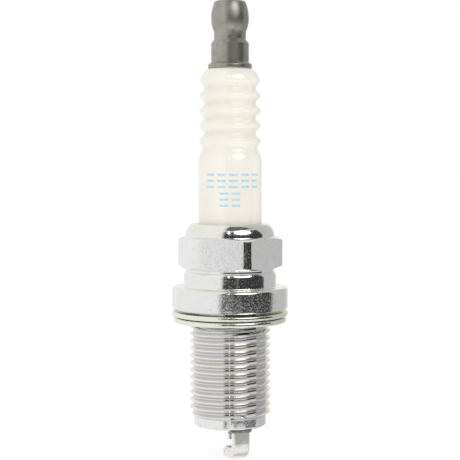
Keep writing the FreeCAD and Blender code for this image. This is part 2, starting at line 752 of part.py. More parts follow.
def make_ground_electrode():
    """The strap: down from the shell, round its bend and in under the centre tip."""
    strap = new_body("ground_electrode")
    outer = "(-strap_thickness / 2 - %s)" % STRAP_RADIUS
    inner = "(strap_thickness / 2 - %s)" % STRAP_RADIUS
    underside = "(%s - strap_thickness)" % STRAP_FACE
    sketch = new_sketch(strap, "strap_side_view", "YZ_Plane")
    add_outline(sketch, [
        (outer, STRAP_BASE),
        (outer, underside + " + strap_bend", left("strap_bend")),
        (outer + " + strap_bend", underside),
        ("strap_beyond_axis", underside),
        ("strap_beyond_axis", STRAP_FACE),
        (inner + " + strap_bend - strap_thickness", STRAP_FACE, right("strap_bend - strap_thickness")),
        (inner, STRAP_FACE + " + strap_bend - strap_thickness"),
        (inner, STRAP_BASE)])
    pad = strap.newObject("PartDesign::Pad", "strap_blank")
    pad.Profile = sketch
    pad.SideType = "Symmetric"
    pad.setExpression("Length", sized("strap_width"))
    document.recompute()
    before = strap.Shape.Volume
    plan = new_sketch(strap, "strap_tip_cuts", "XY_Plane", STRAP_FACE)
    for side in ("", "-"):
        add_outline(plan, [
            (side + "(strap_width / 2)", "strap_beyond_axis - strap_taper"),
            (side + "(strap_width / 2)", "strap_beyond_axis"),
            (side + "(strap_tip_width / 2)", "strap_beyond_axis")])
    taper = strap.newObject("PartDesign::Pocket", "strap_taper_cut")
    taper.Profile = plan
    taper.SideType = "Symmetric"
    taper.setExpression("Length", sized("3 * strap_thickness"))
    document.recompute()
    must_shrink(strap, before, "strap_taper_cut")
    base = value(STRAP_BASE)
    narrow = value("strap_tip_width / 2")
    thickness = value("strap_thickness")

    def is_long_edge(edge):
        box = edge.BoundBox
        beside = min(abs(box.XMin), abs(box.XMax)) > narrow - MATCH and box.XMin * box.XMax > 0
        along = box.YLength > MATCH or box.ZLength > thickness + MATCH
        return beside and along and box.ZMin < base - MATCH

    dress(strap, "Fillet", "strap_edges", edges_where(strap, is_long_edge), "strap_edge")
    return strap


def make_gasket():
    """The folded ring of sheet: four layers, two outer folds and one inner fold."""
    layer = "gasket_sheet"
    step = "(gasket_sheet + gasket_fold_gap)"
    top = "(-gasket_play)"

    def upper(number):
        return "%s - %d * %s" % (top, number, step)

    def lower(number):
        return "%s - %d * %s - %s" % (top, number, step, layer)

    upper_rim = "flange_radius + gasket_overhang"
    lower_rim = upper_rim + " - gasket_lower_inset"
    lip = "thread_radius + gasket_lip_gap"
    inner_fold = NECK_RADIUS + " + gasket_bore_gap"
    ring = turned("gasket", [
        (lip, upper(0)),
        (upper_rim, upper(0)),
        (upper_rim, lower(1)),
        ("%s + %s" % (inner_fold, layer), lower(1)),
        ("%s + %s" % (inner_fold, layer), upper(2)),
        (lower_rim, upper(2)),
        (lower_rim, lower(3)),
        (lip, lower(3)),
        (lip, upper(3)),
        ("%s - %s" % (lower_rim, layer), upper(3)),
        ("%s - %s" % (lower_rim, layer), lower(2)),
        (inner_fold, lower(2)),
        (inner_fold, upper(1)),
        ("%s - %s" % (upper_rim, layer), upper(1)),
        ("%s - %s" % (upper_rim, layer), lower(0)),
        (lip, lower(0))])
    folds = [
        (upper_rim, upper(0)), (upper_rim, lower(1)), (lower_rim, upper(2)), (lower_rim, lower(3)),
        (inner_fold, upper(1)), (inner_fold, lower(2))]
    dress_rings(ring, "Fillet", "gasket_folds", folds, "gasket_fold_rounding")
    return ring


def write_parts(pieces):
    """Checks every object of the document and writes each piece to its file."""
    document.recompute()
    for item in document.Objects:
        if "Invalid" in item.State or "Error" in item.State:
            raise RuntimeError("%s: %s" % (item.Label, item.State))
    os.makedirs("parts", exist_ok=True)
    for piece in pieces:
        shape = piece.Shape
        if shape.isNull() or not shape.isValid() or len(shape.Solids) != 1:
            raise RuntimeError("%s isn't one valid solid" % piece.Label)
        shape.exportStep("parts/%s.step" % piece.Label)


write_parts([
    make_terminal_nut(),
    make_terminal_stud(),
    make_insulator(),
    make_metal_shell(),
    make_seat_packing(),
    make_packing_ring("lower_packing_ring", LOWER_WIRE),
    make_talc_fill(),
    make_packing_ring("upper_packing_ring", UPPER_WIRE),
    make_upper_glass_seal(),
    plain_cylinder("resistor", SEAL_RADIUS, LOWER_SEAL_TOP, "resistor_length"),
    make_lower_glass_seal(),
    make_centre_electrode(),
    plain_cylinder("copper_core", COPPER_RADIUS, COPPER_END, "%s - %s" % (HEAD_TOP, COPPER_END)),
    plain_cylinder("centre_tip", "tip_radius", TIP_END, "tip_length"),
    make_tip_weld(),
    make_ground_weld(),
    make_ground_electrode(),
    plain_cylinder("ground_chip", "chip_radius", STRAP_FACE, "chip_height"),
    make_chip_weld(),
    make_gasket()])
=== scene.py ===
"""A long-reach spark plug, dressed for a studio view."""
import logging
import math
from dataclasses import dataclass, field
from enum import Enum

import bmesh
import bpy
from mathutils import Matrix, Vector


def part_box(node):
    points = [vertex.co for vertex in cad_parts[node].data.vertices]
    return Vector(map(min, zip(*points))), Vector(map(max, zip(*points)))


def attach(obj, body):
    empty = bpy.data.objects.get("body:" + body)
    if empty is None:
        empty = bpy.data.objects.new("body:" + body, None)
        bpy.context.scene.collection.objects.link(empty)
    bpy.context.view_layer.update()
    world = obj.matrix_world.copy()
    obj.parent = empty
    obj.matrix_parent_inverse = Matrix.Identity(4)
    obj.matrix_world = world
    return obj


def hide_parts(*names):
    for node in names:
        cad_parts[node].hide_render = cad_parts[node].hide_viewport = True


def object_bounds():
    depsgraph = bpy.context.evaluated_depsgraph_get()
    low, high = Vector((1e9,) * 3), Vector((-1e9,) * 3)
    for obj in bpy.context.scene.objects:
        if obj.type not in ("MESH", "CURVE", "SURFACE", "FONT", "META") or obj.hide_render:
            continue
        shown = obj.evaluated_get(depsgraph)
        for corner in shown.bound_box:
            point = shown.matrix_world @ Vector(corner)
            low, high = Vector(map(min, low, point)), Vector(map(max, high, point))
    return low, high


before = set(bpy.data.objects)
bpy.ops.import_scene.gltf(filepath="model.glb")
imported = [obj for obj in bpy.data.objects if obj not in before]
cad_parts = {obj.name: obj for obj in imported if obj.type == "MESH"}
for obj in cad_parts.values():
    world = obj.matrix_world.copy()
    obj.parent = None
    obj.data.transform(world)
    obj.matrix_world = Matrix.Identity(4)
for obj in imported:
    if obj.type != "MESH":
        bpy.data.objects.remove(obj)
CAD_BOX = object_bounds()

LOG = logging.getLogger("spark_plug")
MM = 0.001
FULL_TURN = math.tau
MERGE_DISTANCE = 1e-4 * MM
Colour = tuple[float, float, float]
Ramp = tuple[float, float]


class Body(Enum):
    """The rigid bodies that pieces ride on."""

    PLUG = "plug"
    TERMINAL_NUT = "terminal_nut_body"
    GASKET = "gasket_body"


class Pattern(Enum):
    """How a noise pattern is stretched over a piece."""

    GRAIN = (1.0, 1.0, 1.0)
    TURNED = (0.02, 0.02, 1.0)
    DRAWN = (1.0, 1.0, 0.08)


# Node sheets


class Nodes:
    """A node tree, with short calls for the nodes that the finishes and the sky share."""

    def __init__(self, tree: bpy.types.NodeTree) -> None:
        """Takes up a node tree.

        Args:
            tree: The tree that new nodes go into.
        """
        self.tree = tree

    def add(self, kind: str, **settings: object) -> bpy.types.Node:
        """Adds a node.

        Args:
            kind: The node's type name.
            **settings: Properties to set on it.

        Returns:
            The new node.
        """
        node = self.tree.nodes.new(kind)
        for name, setting in settings.items():
            setattr(node, name, setting)
        return node

    def join(self, source: bpy.types.NodeSocket, target: bpy.types.NodeSocket) -> None:
        """Links an output to an input.

        Args:
            source: The output.
            target: The input.
        """
        self.tree.links.new(source, target)

    def spread(self, source: bpy.types.NodeSocket, span: tuple[float, float],
               onto: tuple[float, float]) -> bpy.types.NodeSocket:
        """Maps a span of values onto another, with soft ends.

        Args:
            source: The value to map.
            span: Lowest and highest value read.
            onto: The values that those become.

        Returns:
            The mapped value.
        """
        node = self.add("ShaderNodeMapRange", interpolation_type="SMOOTHSTEP")
        for name, number in zip(("From Min", "From Max", "To Min", "To Max"), (*span, *onto)):
            node.inputs[name].default_value = number
        self.join(source, node.inputs["Value"])
        return node.outputs["Result"]

    def sums(self, operation: str, first: object, second: object = 0.0) -> bpy.types.NodeSocket:
        """Arithmetic on two values or sockets.

        Args:
            operation: The Math node's operation.
            first: A socket or a number.
            second: A socket or a number.

        Returns:
            The result.
        """
        node = self.add("ShaderNodeMath", operation=operation)
        for index, entry in enumerate((first, second)):
            if isinstance(entry, bpy.types.NodeSocket):
                self.join(entry, node.inputs[index])
            else:
                node.inputs[index].default_value = entry
        return node.outputs["Value"]


class NodeSheet(Nodes):
    """The node tree of one finish, with short calls for its shader."""

    def __init__(self, name: str) -> None:
        """Starts a material with one Principled shader.

        Args:
            name: The material's name.
        """
        self.material = bpy.data.materials.new(name)
        self.material.use_nodes = True
        super().__init__(self.material.node_tree)
        self.shader = self.tree.nodes["Principled BSDF"]
        self.place = self.add("ShaderNodeTexCoord").outputs["Object"]

    def fix(self, **sockets: object) -> None:
        """Sets plain values on the shader.

        Args:
            **sockets: The sockets' values. An underscore stands for a space in a socket's name.
        """
        for name, setting in sockets.items():
            self.shader.inputs[name.replace("_", " ")].default_value = setting

    def feed(self, socket: str, source: bpy.types.NodeSocket) -> None:
        """Drives one of the shader's sockets.

        Args:
            socket: The socket's name.
            source: The output that drives it.
        """
        self.join(source, self.shader.inputs[socket])

    def noise(self, size_mm: float, detail: float = 3.0,
              pattern: Pattern = Pattern.GRAIN) -> bpy.types.NodeSocket:
        """A noise whose blotches are about that size.

        Args:
            size_mm: Size of a blotch in millimetres.
            detail: Octaves of finer noise.
            pattern: How the noise is stretched.

        Returns:
            The noise's value, from 0 to 1.
        """
        stretch = self.add("ShaderNodeMapping")
        stretch.inputs["Scale"].default_value = pattern.value
        self.join(self.place, stretch.inputs["Vector"])
        noise = self.add("ShaderNodeTexNoise")
        noise.inputs["Scale"].default_value = 1 / (size_mm * MM)
        noise.inputs["Detail"].default_value = detail
        self.join(stretch.outputs["Vector"], noise.inputs["Vector"])
        return noise.outputs["Fac"]

    def blend(self, factor: bpy.types.NodeSocket, first: object, second: object) -> bpy.types.NodeSocket:
        """Mixes two colours.

        Args:
            factor: 0 gives the first colour, 1 the second.
            first: A colour or a colour socket.
            second: A colour or a colour socket.

        Returns:
            The mixed colour.
        """
        node = self.add("ShaderNodeMix", data_type="RGBA")
        self.join(factor, node.inputs["Factor"])
        for socket, entry in ((node.inputs[6], first), (node.inputs[7], second)):
            if isinstance(entry, bpy.types.NodeSocket):
                self.join(entry, socket)
            else:
                socket.default_value = (*entry, 1.0)
        return node.outputs[2]

    def height(self) -> bpy.types.NodeSocket:
        """How far up the plug's axis a point lies, in metres."""
        split = self.add("ShaderNodeSeparateXYZ")
        self.join(self.place, split.inputs["Vector"])
        return split.outputs["Z"]

    def radius(self) -> bpy.types.NodeSocket:
        """How far out from the plug's axis a point lies, in metres."""
        flat = self.add("ShaderNodeVectorMath", operation="MULTIPLY")
        flat.inputs[1].default_value = (1.0, 1.0, 0.0)
        self.join(self.place, flat.inputs[0])
        length = self.add("ShaderNodeVectorMath", operation="LENGTH")
        self.join(flat.outputs["Vector"], length.inputs[0])
        return length.outputs["Value"]

    def upward(self) -> bpy.types.NodeSocket:
        """How far the surface faces up the plug's axis, from -1 to 1."""
        normal = self.add("ShaderNodeTexCoord").outputs["Normal"]
        split = self.add("ShaderNodeSeparateXYZ")
        self.join(normal, split.inputs["Vector"])
        return split.outputs["Z"]

    def edges(self, radius_mm: float) -> bpy.types.NodeSocket:
        """Finds the corners of a piece.

        Args:
            radius_mm: How far from a corner its wear reaches, in millimetres.

        Returns:
            1 on corners, 0 on open surfaces.
        """
        rounded = self.add("ShaderNodeBevel", samples=6)
        rounded.inputs["Radius"].default_value = radius_mm * MM
        plain = self.add("ShaderNodeNewGeometry").outputs["Normal"]
        dot = self.add("ShaderNodeVectorMath", operation="DOT_PRODUCT")
        self.join(rounded.outputs["Normal"], dot.inputs[0])
        self.join(plain, dot.inputs[1])
        return self.spread(dot.outputs["Value"], (0.995, 0.9), (0.0, 1.0))

    def see_through_from_behind(self) -> None:
        """Shows the surface from its front only."""
        output = self.tree.nodes["Material Output"]
        mix = self.add("ShaderNodeMixShader")
        self.join(self.add("ShaderNodeNewGeometry").outputs["Backfacing"], mix.inputs["Fac"])
        self.join(self.shader.outputs["BSDF"], mix.inputs[1])
        self.join(self.add("ShaderNodeBsdfTransparent").outputs["BSDF"], mix.inputs[2])
        self.join(mix.outputs["Shader"], output.inputs["Surface"])

    def relief(self, layers: list[tuple[bpy.types.NodeSocket, float]]) -> None:
        """Stacks bumps on the shader's normal.

        Args:
            layers: Height sockets with how high each stands, in millimetres.
        """
        below = None
        for source, height_mm in layers:
            bump = self.add("ShaderNodeBump")
            bump.inputs["Distance"].default_value = height_mm * MM
            self.join(source, bump.inputs["Height"])
            if below is not None:
                self.join(below, bump.inputs["Normal"])
            below = bump.outputs["Normal"]
        self.feed("Normal", below)


# Finishes


@dataclass(frozen=True)
class PlatedSteel:
    """Bright zinc plating with a pale passivation haze and a fine grain, with a painted warm sheen on faces
    that look up, a painted cool sheen on faces that look down, and painted shade that darkens a thread
    towards its roots. Lengths in millimetres.
    """

    name: str = "plated_steel"
    silver: Colour = (0.86, 0.865, 0.85)
    # The warm and cool tints are partly a random passivation tone and partly painted sheen: warm where a
    # face looks up, cool where it looks down.
    warm: Colour = (0.90, 0.86, 0.68)
    cool: Colour = (0.80, 0.80, 0.90)
    dull: Colour = (0.62, 0.62, 0.60)
    worn: Colour = (0.93, 0.93, 0.92)
    bloom_and_sheen: float = 0.32
    bloom_and_sheen_gain: float = 1.7
    bloom_and_sheen_mm: float = 3.5
    patch_mm: float = 1.1
    patch_roughness: float = 0.15
    drift_mm: float = 1.8
    wear_mm: float = 0.12
    dent_mm: float = 1.3
    dent_height: float = 0.006
    roughness: tuple[float, float] = (0.07, 0.16)
    grain_mm: float = 0.3
    grain_height: float = 0.006
    blasted: tuple[float, float] = (0.3, 3.5)
    blasted_fade: float = 0.3
    blasted_height: float = 0.014
    blasted_roughness: float = 0.03
    rainbow: tuple[Colour, Colour] = ((0.92, 0.90, 0.82), (0.80, 0.83, 0.90))
    speck_mm: float = 0.22
    speckle: float = 0.20
    # Radii over which painted shade darkens a thread towards its roots, and the colour of that painted
    # shade.
    valley_shade: tuple[float, float] = (0.0, 0.001)
    valley_shade_colour: Colour = (0.70, 0.685, 0.69)

    def make(self) -> bpy.types.Material:
        """Builds the material."""
        sheet = NodeSheet(self.name)
        sheet.fix(Metallic=1.0)
        patches = sheet.spread(sheet.noise(self.patch_mm, 5.0), (0.56, 0.8), (0.0, 0.45))
        # Painted shade: full at and inside the first radius, fading out by the second, so a thread darkens
        # towards its roots.
        root_shade_mask = sheet.spread(sheet.radius(), tuple(edge * MM for edge in self.valley_shade), (1.0, 0.0))
        sheet.feed("Base Color", sheet.blend(root_shade_mask, self.skin(sheet, patches), self.valley_shade_colour))
        grain = sheet.noise(self.grain_mm, 2.0)
        rim = self.blasted_rim(sheet)
        specks = sheet.spread(sheet.noise(self.speck_mm, 2.0), (0.48, 0.68), (0.0, self.speckle))
        rough = sheet.spread(grain, (0.3, 0.7), self.roughness)
        for layer, share in (
                (rim, self.blasted_roughness),
                (specks, sheet.spread(rim, (0.0, 1.0), (0.7, 1.0))),
                (patches, self.patch_roughness)):
            rough = sheet.sums("ADD", rough, sheet.sums("MULTIPLY", layer, share))
        sheet.feed("Roughness", rough)
        sheet.relief([
            (grain, self.grain_height),
            (sheet.noise(self.dent_mm, 2.0), self.dent_height),
            (sheet.sums("MULTIPLY", sheet.noise(self.speck_mm, 3.0), rim), self.blasted_height)])
        return sheet.material

    def skin(self, sheet: NodeSheet, patches: bpy.types.NodeSocket) -> bpy.types.NodeSocket:
        """The plating's colour before the painted shade towards a thread's roots darkens it.

        Args:
            sheet: The finish's nodes.
            patches: How dull the plating is.

        Returns:
            The colour.
        """
        cloud = sheet.noise(self.bloom_and_sheen_mm, 4.0)
        facing = sheet.upward()
        colour = self.silver
        # Painted sheen: warm tint on faces that look up and cool tint on faces that look down, broken up by
        # the random passivation cloud.
        for span, tint in (((0.05, 0.45), self.warm), ((-0.05, -0.45), self.cool)):
            side = sheet.sums("MULTIPLY", sheet.spread(facing, span, (0.0, self.bloom_and_sheen)), cloud)
            colour = sheet.blend(sheet.sums("MULTIPLY", side, self.bloom_and_sheen_gain), colour, tint)
        colour = sheet.blend(patches, colour, self.dull)
        drift = sheet.noise(self.drift_mm, 3.0)
        for span, tint in zip(((0.52, 0.70), (0.48, 0.30)), self.rainbow):
            colour = sheet.blend(sheet.spread(drift, span, (0.0, 0.5)), colour, tint)
        return sheet.blend(sheet.edges(self.wear_mm), colour, self.worn)

    def blasted_rim(self, sheet: NodeSheet) -> bpy.types.NodeSocket:
        """1 on the flange's blasted rim, 0 elsewhere."""
        low, high = (height * MM for height in self.blasted)
        fade = self.blasted_fade * MM
        above = sheet.spread(sheet.height(), (low, low + fade), (0.0, 1.0))
        below = sheet.spread(sheet.height(), (high, high - fade), (0.0, 1.0))
        return sheet.sums("MULTIPLY", above, below)


@dataclass(frozen=True)
class SatinSteel:
    """Warm grey steel with faint rings left by the lathe."""

    name: str = "satin_steel"
    light: Colour = (0.42, 0.41, 0.365)
    dark: Colour = (0.35, 0.34, 0.30)
    roughness: tuple[float, float] = (0.34, 0.44)
    worn: Colour = (0.55, 0.54, 0.50)
    ring_mm: float = 0.07
    cloud_mm: float = 1.4
    dent_mm: float = 0.4
    wear_mm: float = 0.15

    def make(self) -> bpy.types.Material:
        """Builds the material."""
        sheet = NodeSheet(self.name)
        sheet.fix(Metallic=1.0)
        rings = sheet.noise(self.ring_mm, 2.0, Pattern.TURNED)
        cloud = sheet.noise(self.cloud_mm, 5.0)
        body = sheet.blend(sheet.spread(cloud, (0.35, 0.7), (0.0, 1.0)), self.light, self.dark)
        sheet.feed("Base Color", sheet.blend(sheet.edges(self.wear_mm), body, self.worn))
        sheet.feed("Roughness", sheet.spread(sheet.sums("ADD", rings, cloud), (0.7, 1.3), self.roughness))
        sheet.relief([(rings, 0.002), (sheet.noise(self.dent_mm, 2.0), 0.001)])
        return sheet.material


@dataclass(frozen=True)
class GlazedAlumina:
    """Cream white alumina: clear glaze above the seat, bare and matt on the nose. Lengths in millimetres."""

    name: str = "glazed_alumina"
    cream: Colour = (0.92, 0.88, 0.80)
    shade: Colour = (0.89, 0.845, 0.75)
    bare: Colour = (0.88, 0.86, 0.82)
    speck: Colour = (0.45, 0.40, 0.33)
    glaze_end: float = -5.0
    glaze_fade: float = 1.0
    cloud_mm: float = 6.0
    speck_mm: float = 0.22
    wave_mm: float = 1.6
    grain_mm: float = 0.12

    def make(self) -> bpy.types.Material:
        """Builds the material."""
        sheet = NodeSheet(self.name)
        sheet.fix(IOR=1.55, Coat_IOR=1.5, Coat_Roughness=0.04)
        edge = (self.glaze_end * MM, (self.glaze_end + self.glaze_fade) * MM)
        glazed = sheet.spread(sheet.height(), edge, (0.0, 1.0))
        cloud = sheet.spread(sheet.noise(self.cloud_mm, 4.0), (0.35, 0.7), (0.0, 1.0))
        body = sheet.blend(cloud, self.cream, self.shade)
        body = sheet.blend(glazed, self.bare, body)
        specks = sheet.spread(sheet.noise(self.speck_mm, 1.0), (0.79, 0.83), (0.0, 0.5))
        sheet.feed("Base Color", sheet.blend(specks, body, self.speck))
        sheet.feed("Roughness", sheet.spread(glazed, (0.0, 1.0), (0.62, 0.22)))
        sheet.feed("Coat Weight", glazed)
        sheet.relief([(sheet.noise(self.wave_mm, 2.0), 0.004), (sheet.noise(self.grain_mm, 2.0), 0.0006)])
        return sheet.material


@dataclass(frozen=True)
class FiredInk:
    """Light blue marks fired into the glaze, a little uneven."""

    name: str = "fired_ink"
    blue: Colour = (0.36, 0.68, 0.85)
    thin: Colour = (0.52, 0.78, 0.88)
    cover_mm: float = 0.35
    grain_mm: float = 0.1

    def make(self) -> bpy.types.Material:
        """Builds the material."""
        sheet = NodeSheet(self.name)
        sheet.fix(Coat_Weight=0.8, Coat_Roughness=0.06)
        cover = sheet.spread(sheet.noise(self.cover_mm, 3.0), (0.35, 0.65), (0.0, 1.0))
        sheet.feed("Base Color", sheet.blend(cover, self.blue, self.thin))
        sheet.feed("Roughness", sheet.spread(cover, (0.0, 1.0), (0.25, 0.4)))
        sheet.relief([(sheet.noise(self.grain_mm, 2.0), 0.001)])
        return sheet.material


@dataclass(frozen=True)
class DrawnAlloy:
    """Drawn wire or strip with a satin skin and a few darker patches."""

    name: str
    light: Colour
    dark: Colour
    roughness: tuple[float, float] = (0.24, 0.42)
    blotch_mm: float = 0.8
    line_mm: float = 0.06
    grain_mm: float = 0.15
    wear_mm: float = 0.08

    def make(self) -> bpy.types.Material:
        """Builds the material."""
        sheet = NodeSheet(self.name)
        sheet.fix(Metallic=1.0)
        cloud = sheet.noise(self.blotch_mm, 4.0)
        lines = sheet.noise(self.line_mm, 2.0, Pattern.DRAWN)
        body = sheet.blend(sheet.spread(cloud, (0.45, 0.75), (0.0, 1.0)), self.light, self.dark)
        sheet.feed("Base Color", sheet.blend(sheet.edges(self.wear_mm), body, self.light))
        sheet.feed("Roughness", sheet.spread(cloud, (0.3, 0.7), self.roughness))
        sheet.relief([(lines, 0.002), (sheet.noise(self.grain_mm, 3.0), 0.003)])
        return sheet.material


@dataclass(frozen=True)
class DullFill:
    """A matt mass such as glass seal, resistor or pressed powder."""

    name: str
    light: Colour
    dark: Colour
    grain_mm: float = 0.2

    def make(self) -> bpy.types.Material:
        """Builds the material."""
        sheet = NodeSheet(self.name)
        grain = sheet.noise(self.grain_mm, 4.0)
        sheet.feed("Base Color", sheet.blend(grain, self.light, self.dark))
        sheet.feed("Roughness", sheet.spread(grain, (0.2, 0.8), (0.5, 0.85)))
        sheet.relief([(grain, 0.02)])
        return sheet.material


# Shaping tools


def new_piece(name: str, shape: bmesh.types.BMesh, material: bpy.types.Material, body: Body,
              sharp_degrees: float = 28.0) -> bpy.types.Object:
    """Turns a finished bmesh into a piece that rides on a body.

    Args:
        name: The piece's name.
        shape: The mesh, which is freed.
        material: Its finish.
        body: The body it rides on.
        sharp_degrees: Edges that turn by more than this stay crisp.

    Returns:
        The new object.
    """
    for edge in shape.edges:
        folded = len(edge.link_faces) == 2 and edge.calc_face_angle() > math.radians(sharp_degrees)
        edge.smooth = not folded
    for face in shape.faces:
        face.smooth = True
    mesh = bpy.data.meshes.new(name)
    shape.to_mesh(mesh)
    shape.free()
    mesh.materials.append(material)
    piece = bpy.data.objects.new(name, mesh)
    bpy.context.scene.collection.objects.link(piece)
    weighted = piece.modifiers.new("even_shading", "WEIGHTED_NORMAL")
    weighted.keep_sharp = True
    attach(piece, body.value)
    LOG.info("%s: %d faces", name, len(mesh.polygons))
    return piece


def merged_shape(node: str) -> bmesh.types.BMesh:
    """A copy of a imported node's mesh with its loose triangles joined.

    Args:
        node: The node's name.

    Returns:
        The joined copy.
    """
    shape = bmesh.new()
    shape.from_mesh(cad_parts[node].data)
    bmesh.ops.remove_doubles(shape, verts=shape.verts, dist=MERGE_DISTANCE)
    bmesh.ops.dissolve_degenerate(shape, dist=MERGE_DISTANCE, edges=shape.edges)
    return shape


def smooth_node(node: str, material: bpy.types.Material, body: Body) -> bpy.types.Object:
    """Shows a node through a joined copy that shades smoothly.

    Args:
        node: The node to stand for.
        material: Its finish.
        body: The body it rides on.

    Returns:
        The piece.
    """
    piece = new_piece(node + "_skin", merged_shape(node), material, body)
    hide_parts(node)
    return piece


# Sub-assemblies


@dataclass
class PrintedMarks:
    """Two rows of plain dashes on the smooth part of the insulator, in millimetres and degrees."""

    surface_radius: float = 5.4
    thickness: float = 0.012
    facing: float = -19.0
    upper_base: float = 20.55
    lower_base: float = 17.45
    upper_shift: float = 0.6
    dash_height: float = 0.36
    dash_width: float = 1.45
    rise: float = 1.0
    pitch: float = 2.05
    upper_count: int = 5
    lower_count: int = 2
    levels: int = 3
    steps: int = 12

    def dash(self, shape: bmesh.types.BMesh, along: float, base: float) -> None:
        """Adds one dash to the shape.

        Args:
            shape: The mesh that takes it.
            along: Its middle, measured round the surface from the marks' middle.
            base: Height of its lower edge.
        """
        half_turn = self.dash_width / self.surface_radius / 2
        middle = math.radians(self.facing) + along / self.surface_radius
        start = middle - half_turn
        outward = Vector((math.sin(start), -math.cos(start), 0.0))
        inner, outer = self.surface_radius - self.thickness, self.surface_radius + self.thickness
        top = base + self.dash_height
        ends = ((inner, base), (outer, base), (outer, top), (inner, top))
        corners = [
            shape.verts.new((outward * radius + Vector((0, 0, height))) * MM) for radius, height in ends]
        sides = [shape.edges.new((corners[n], corners[(n + 1) % len(corners)])) for n in range(len(corners))]
        swept = bmesh.ops.spin(
            shape, geom=corners + sides, cent=(0, 0, 0), axis=(0, 0, 1), angle=2 * half_turn,
            steps=self.steps)["geom_last"]
        last = [item for item in swept if isinstance(item, bmesh.types.BMEdge)]
        bmesh.ops.holes_fill(shape, edges=sides + last, sides=4)

    def build(self, ink: bpy.types.Material) -> None:
        """Builds the marks and rides them on the plug."""
        shape = bmesh.new()
        rows = (
            (self.upper_count, self.upper_base, self.upper_shift), (self.lower_count, self.lower_base, 0.0))
        for count, base, shift in rows:
            for number in range(count):
                along = shift + (number - (count - 1) / 2) * self.pitch
                for level in range(self.levels):
                    self.dash(shape, along, base + level * self.rise)
        bmesh.ops.recalc_face_normals(shape, faces=shape.faces)
        piece = new_piece("insulator_marks", shape, ink, Body.PLUG)


@dataclass
class RolledThread:
    """The shell's thread with rounded crests and roots, in millimetres."""

    pitch: float = 1.25
    crest_radius: float = 6.93
    root_radius: float = 6.23
    neck_radius: float = 6.15
    pilot_radius: float = 6.2
    backing_radius: float = 6.0
    top: float = -2.35
    end: float = -18.23
    crest_flat: float = 0.16
    root_flat: float = 0.28
    rounding: float = 0.09
    root_rounding: float = 0.13
    steps: int = 144
    seam: float = 2e-3
    rim_seam: float = 1e-3

    def profile(self) -> bmesh.types.BMesh:
        """The thread's outline in the XZ plane, from above its top to below its end."""
        shape = bmesh.new()
        turns = math.ceil((self.top - self.end) / self.pitch) + 3
        start = self.top + 2 * self.pitch
        crests, roots, line = [], [], []
        for turn in range(turns):
            crest = start - turn * self.pitch
            root = crest - self.pitch / 2
            for height, half, radius, group in (
                    (crest, self.crest_flat / 2, self.crest_radius, crests),
                    (root, self.root_flat / 2, self.root_radius, roots)):
                for place in (height + half, height - half):
                    corner = shape.verts.new((radius * MM, 0.0, place * MM))
                    group.append(corner)
                    line.append(corner)
        for upper, lower in zip(line, line[1:]):
            shape.edges.new((upper, lower))
        inner = line[1:-1]
        for group, rounding in ((crests, self.rounding), (roots, self.root_rounding)):
            rounded = [corner for corner in group if corner in inner]
            bmesh.ops.bevel(
                shape, geom=rounded, affect="VERTICES", offset=rounding * MM, offset_type="OFFSET",
                segments=4, profile=0.5, material=-1, clamp_overlap=True)
        return shape

    def turn_down(self, shape: bmesh.types.BMesh) -> None:
        """Bevels both ends of the thread as a lathe would, by limiting each corner's radius."""
        for corner in shape.verts:
            height = corner.co.z / MM
            limit = min(self.neck_radius + (self.top - height), self.pilot_radius + (height - self.end))
            radius = math.hypot(corner.co.x, corner.co.y) / MM
            if radius > limit:
                corner.co.x *= limit / radius
                corner.co.y *= limit / radius

    def build(self) -> bmesh.types.BMesh:
        """Sweeps, trims and closes the thread.

        Returns:
            A closed sleeve that carries the thread.
        """
        shape = self.profile()
        drop = Vector((0, 0, -self.pitch * MM / self.steps))
        bmesh.ops.spin(
            shape, geom=shape.verts[:] + shape.edges[:], cent=(0, 0, 0), axis=(0, 0, 1), dvec=drop,
            angle=-FULL_TURN, steps=self.steps, use_merge=False)
        bmesh.ops.remove_doubles(shape, verts=shape.verts, dist=self.seam * MM)
        for height, outward in ((self.top, 1.0), (self.end, -1.0)):
            bmesh.ops.bisect_plane(
                shape, geom=shape.verts[:] + shape.edges[:] + shape.faces[:], dist=MERGE_DISTANCE,
                plane_co=(0, 0, height * MM), plane_no=(0, 0, outward), clear_outer=True)
        self.turn_down(shape)
        rims = [edge for edge in shape.edges if edge.is_boundary]
        inward = bmesh.ops.extrude_edge_only(shape, edges=rims)["geom"]
        for corner in inward:
            if isinstance(corner, bmesh.types.BMVert):
                radius = math.hypot(corner.co.x, corner.co.y)
                corner.co.x *= self.backing_radius * MM / radius
                corner.co.y *= self.backing_radius * MM / radius
        bmesh.ops.remove_doubles(shape, verts=shape.verts, dist=self.rim_seam * MM)
        rims = [edge for edge in shape.edges if edge.is_boundary]
        bmesh.ops.bridge_loops(shape, edges=rims)
        bmesh.ops.recalc_face_normals(shape, faces=shape.faces)
        return shape


